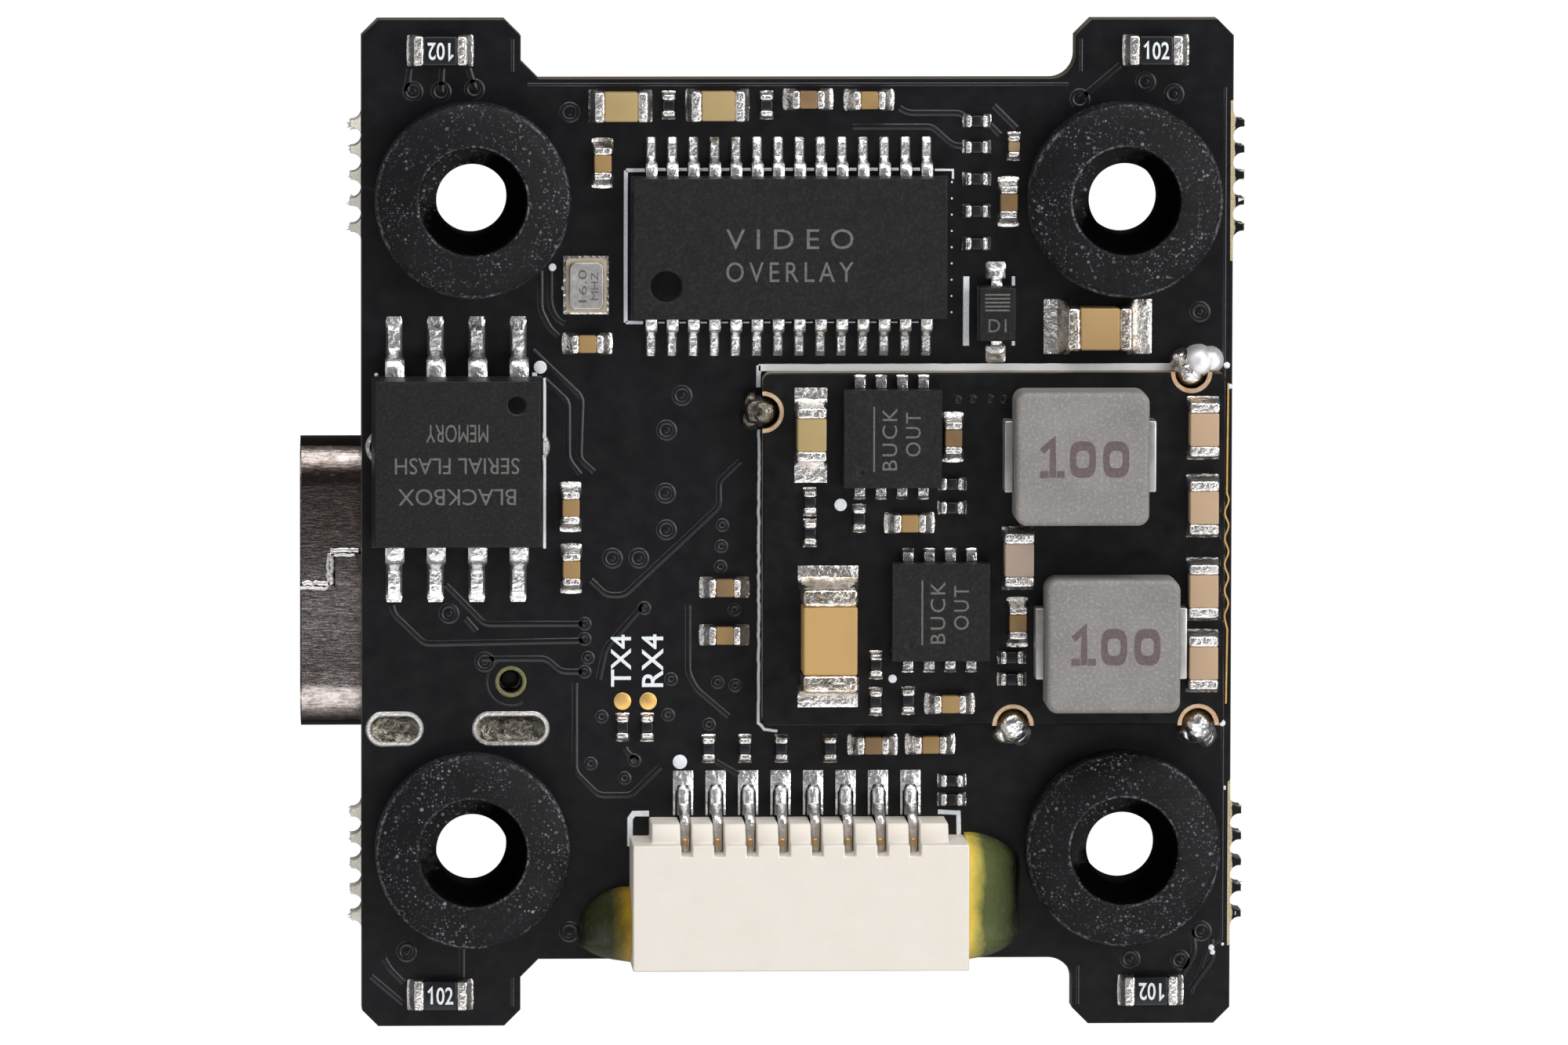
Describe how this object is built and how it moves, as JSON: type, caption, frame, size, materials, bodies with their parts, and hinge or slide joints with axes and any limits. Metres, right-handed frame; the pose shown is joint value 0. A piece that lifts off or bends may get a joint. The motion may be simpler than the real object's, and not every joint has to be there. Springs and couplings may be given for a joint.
{
  "type": "flight controller board",
  "caption": "H-shaped flight controller board with rubber grommets, USB-C receptacle, side-entry harness socket, chips and a soldered-on step-down converter module.",
  "frame": {"origin": "centre of the four mounting holes, on the main board's top (component) face", "axes": "+Z out of the component face, +Y away from the harness socket, +X away from the USB-C mouth"},
  "size_m": [0.0289, 0.031, 0.0074],
  "materials": {
    "solder_mask": "satin black solder mask over glass-epoxy laminate",
    "grommet_rubber": "matt black, dusty",
    "shell_nickel": "brushed nickel",
    "usb_moulding": "matt black",
    "contact_gold": "gold plating",
    "solder": "tin solder, lumpy",
    "socket_ivory": "ivory nylon",
    "tin_plate": "bright tin plating",
    "adhesive": "cured translucent yellow adhesive",
    "mould_compound": "fine-grained black epoxy",
    "package_ceramic": "fired ceramic",
    "lid_metal": "matt nickel",
    "inductor_core": "pressed grey iron powder",
    "capacitor_ceramic": "fired tan ceramic",
    "resistor_body": "black glaze",
    "lens_clear": "clear resin",
    "button_black": "matt black",
    "dome_steel": "spring steel"
  },
  "bodies": {
    "board": {"barometer_base": "package_ceramic", "barometer_lid": "lid_metal", "bec_board": "solder_mask", "bec_converter_bodies": "mould_compound", "bec_converter_terminals": "tin_plate", "bec_inductor_cores": "inductor_core", "bec_inductor_terminals": "tin_plate", "bec_solder_joints": "solder", "boot_switch_base": "button_black", "boot_switch_cover": "tin_plate", "boot_switch_dome": "dome_steel", "boot_switch_terminals": "tin_plate", "capacitor_bodies_0201": "capacitor_ceramic", "capacitor_bodies_0402": "capacitor_ceramic", "capacitor_bodies_0603": "capacitor_ceramic", "capacitor_bodies_0805": "capacitor_ceramic", "capacitor_bodies_1206": "capacitor_ceramic", "capacitor_ends_0201": "solder", "capacitor_ends_0402": "solder", "capacitor_ends_0603": "solder", "capacitor_ends_0805": "solder", "capacitor_ends_1206": "solder", "crystal_bases": "package_ceramic", "crystal_lids": "lid_metal", "diode_body": "mould_compound", "diode_leads": "tin_plate", "esc_socket_contacts": "tin_plate", "esc_socket_housing": "socket_ivory", "esc_socket_tabs": "tin_plate", "flash_chip_body": "mould_compound", "flash_chip_leads": "tin_plate", "gyro_body": "mould_compound", "main_board": "solder_mask", "osd_chip_body": "mould_compound", "osd_chip_leads": "tin_plate", "processor_body": "mould_compound", "processor_leads": "tin_plate", "regulator_body": "mould_compound", "regulator_leads": "tin_plate", "resistor_bodies_0201": "resistor_body", "resistor_bodies_0603": "resistor_body", "resistor_ends_0201": "solder", "resistor_ends_0603": "solder", "socket_adhesive": "adhesive", "solder_pads": "contact_gold", "status_led_bases": "package_ceramic", "status_led_lenses": "lens_clear", "usb_c_contacts": "contact_gold", "usb_c_shell": "shell_nickel", "usb_c_tongue": "usb_moulding", "usb_slot_solder": "solder", "vibration_grommets": "grommet_rubber"},
    "boot_button": {"boot_switch_plunger": "button_black"}
  },
  "joints": [
    {"name": "boot_button_press", "type": "slide", "parent": "board", "child": "boot_button", "axis": [0, 0, 1], "range_m": [0, 0.00025], "deforming": ["boot_switch_dome"]}
  ]
}
